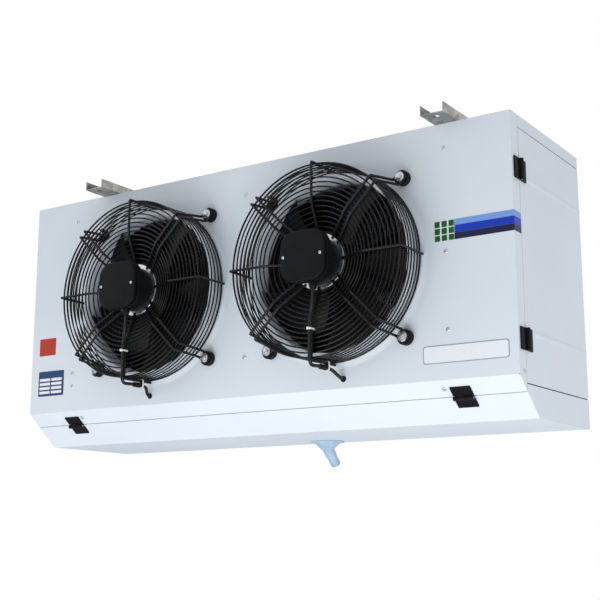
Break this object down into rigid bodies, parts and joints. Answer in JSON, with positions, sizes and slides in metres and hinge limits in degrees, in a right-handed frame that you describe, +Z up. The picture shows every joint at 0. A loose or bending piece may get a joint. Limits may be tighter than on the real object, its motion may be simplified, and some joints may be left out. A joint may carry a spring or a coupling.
{
  "type": "walk-in unit cooler",
  "caption": "Ceiling-hung refrigeration unit cooler: sheet-metal casing with finned coil, axial fans in wire guards, hinged side doors and a hinged drain pan.",
  "frame": {"origin": "centre of the four hanger holes, at half the thickness of the hanger rails", "axes": "+X along the casing, +Y from the fans to the back, +Z up"},
  "size_m": [1.2694, 0.539, 0.6547],
  "materials": {
    "white_coat": "satin",
    "galvanised": "satin",
    "zinc_steel": "satin",
    "dark_screw": "satin",
    "black_wire": "satin",
    "motor_black": "satin",
    "black_plastic": "matte",
    "rubber": "matte",
    "fin_aluminium": "satin",
    "copper": "satin",
    "grey_plastic": "satin",
    "white_nylon": "satin",
    "black_cable": "matte",
    "bright_steel": "satin"
  },
  "bodies": {
    "casing": {"cable_glands": "black_plastic", "cable_sleeves": "black_plastic", "cable_sockets": "black_plastic", "cable_ties": "white_nylon", "cap_screws": "zinc_steel", "coil_tubes": "copper", "defrost_heaters": "bright_steel", "door_frame_leaves": "black_plastic", "door_hinge_pins": "zinc_steel", "door_lock_screws": "dark_screw", "fan_divider": "galvanised", "feeder_tubes": "copper", "fin_pack": "fin_aluminium", "front_panel": "white_coat", "guard_bolts": "zinc_steel", "guard_spacers": "rubber", "left_end_plate": "galvanised", "left_fan_guard": "black_wire", "left_hanger_rail": "galvanised", "left_motor_cap": "black_plastic", "left_motor_stator": "motor_black", "left_rear_plate": "galvanised", "liquid_distributor": "copper", "liquid_line": "copper", "motor_bearings": "bright_steel", "motor_cables": "black_cable", "pan_frame_leaves": "black_plastic", "pan_hinge_pins": "zinc_steel", "pan_lock_screws": "dark_screw", "panel_screws": "zinc_steel", "pipe_sleeves": "rubber", "rail_bolts": "zinc_steel", "rear_rail": "galvanised", "return_bends": "copper", "right_end_plate": "galvanised", "right_fan_guard": "black_wire", "right_hanger_rail": "galvanised", "right_motor_cap": "black_plastic", "right_motor_stator": "motor_black", "right_rear_plate": "galvanised", "suction_header": "copper", "suction_line": "copper", "terminal_box": "grey_plastic", "terminal_lid": "grey_plastic", "top_panel": "white_coat"},
    "left_fan": {"left_rotor": "motor_black", "left_shaft": "bright_steel", "left_impeller": "motor_black"},
    "right_fan": {"right_rotor": "motor_black", "right_shaft": "bright_steel", "right_impeller": "motor_black"},
    "left_door": {"left_side_door": "white_coat", "left_door_leaves": "black_plastic"},
    "right_door": {"right_side_door": "white_coat", "right_door_leaves": "black_plastic"},
    "drain_tray": {"drain_pan": "white_coat", "drain_spout": "grey_plastic", "drain_locknut": "grey_plastic", "pan_hinge_leaves": "black_plastic"}
  },
  "joints": [
    {"name": "left_fan_spin", "type": "hinge", "parent": "casing", "child": "left_fan", "pos_m": [-0.297, -0.174, -0.258], "axis": [0, 1, 0], "continuous": true},
    {"name": "right_fan_spin", "type": "hinge", "parent": "casing", "child": "right_fan", "pos_m": [0.184, -0.174, -0.258], "axis": [0, 1, 0], "continuous": true},
    {"name": "left_door_hinge", "type": "hinge", "parent": "casing", "child": "left_door", "pos_m": [-0.683, -0.14075, -0.274], "axis": [0, 0, 1], "range_deg": [0, 110]},
    {"name": "right_door_hinge", "type": "hinge", "parent": "casing", "child": "right_door", "pos_m": [0.577, -0.14075, -0.274], "axis": [0, 0, -1], "range_deg": [0, 110]},
    {"name": "drain_pan_hinge", "type": "hinge", "parent": "casing", "child": "drain_tray", "pos_m": [0, -0.14402, -0.5375], "axis": [-1, 0, 0], "range_deg": [0, 80]}
  ]
}
